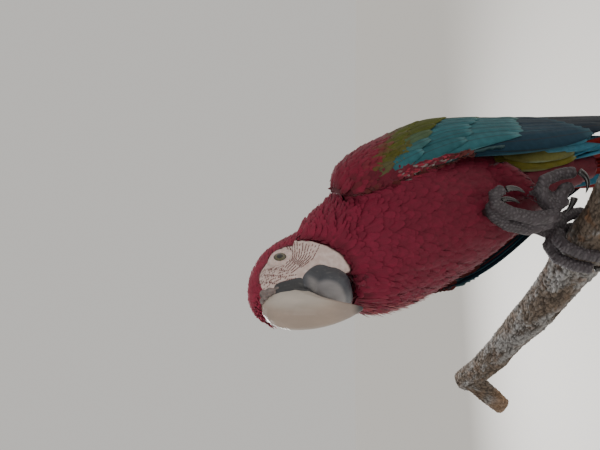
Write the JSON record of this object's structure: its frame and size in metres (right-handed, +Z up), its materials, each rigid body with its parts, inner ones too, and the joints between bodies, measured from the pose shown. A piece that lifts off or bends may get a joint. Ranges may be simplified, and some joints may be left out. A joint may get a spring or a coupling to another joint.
{
  "type": "green-winged macaw on a display perch",
  "caption": "Life-size still model of a green-winged macaw, head bowed and one foot raised, standing on a short cut branch on a plain display stand.",
  "frame": {"origin": "middle of the stand base's flat underside, on the surface it stands on", "axes": "+Z up; the bird faces -Y and its left side is towards +X; metres"},
  "size_m": [0.4775, 0.3494, 0.7428],
  "materials": {
    "red feathers": "matte crimson feathers",
    "green coverts": "olive green feathers with a soft sheen",
    "blue quills": "dark blue flight feathers with a soft sheen",
    "pale horn": "ivory horn, slightly worn, black at the tip",
    "black horn": "grey black horn, satin",
    "eye": "wet glossy eye, pale yellow iris",
    "grey scaly skin": "dark grey scaly skin, matte",
    "bark": "rough grey brown bark",
    "black lacquer": "black lacquered wood, satin",
    "dark steel": "dark steel rod, satin"
  },
  "bodies": {
    "root": {"belly": "red feathers", "bill_lower": "black horn", "bill_upper": "pale horn", "breast": "red feathers", "claw_left_back_inner": "black horn", "claw_left_back_outer": "black horn", "claw_left_front_inner": "black horn", "claw_left_front_outer": "black horn", "claw_right_back_inner": "black horn", "claw_right_back_outer": "black horn", "claw_right_front_inner": "black horn", "claw_right_front_outer": "black horn", "eye_left": "eye", "eye_right": "eye", "head": "red feathers", "leg_left_shank": "grey scaly skin", "leg_left_thigh": "red feathers", "leg_right_shank": "grey scaly skin", "leg_right_thigh": "red feathers", "neck": "red feathers", "perch_branch": "bark", "perch_fork": "bark", "stand_base": "black lacquer", "stand_rod": "dark steel", "tail_left_1": "blue quills", "tail_left_2": "red feathers", "tail_left_3": "red feathers", "tail_left_4": "red feathers", "tail_left_5": "red feathers", "tail_left_6": "red feathers", "tail_right_1": "blue quills", "tail_right_2": "red feathers", "tail_right_3": "red feathers", "tail_right_4": "red feathers", "tail_right_5": "red feathers", "tail_right_6": "red feathers", "toe_left_back_inner": "grey scaly skin", "toe_left_back_outer": "grey scaly skin", "toe_left_front_inner": "grey scaly skin", "toe_left_front_outer": "grey scaly skin", "toe_right_back_inner": "grey scaly skin", "toe_right_back_outer": "grey scaly skin", "toe_right_front_inner": "grey scaly skin", "toe_right_front_outer": "grey scaly skin", "vent": "red feathers", "wing_left_coverts": "green coverts", "wing_left_quills": "blue quills", "wing_left_shoulder": "red feathers", "wing_right_coverts": "green coverts", "wing_right_quills": "blue quills", "wing_right_shoulder": "red feathers"}
  },
  "joints": []
}
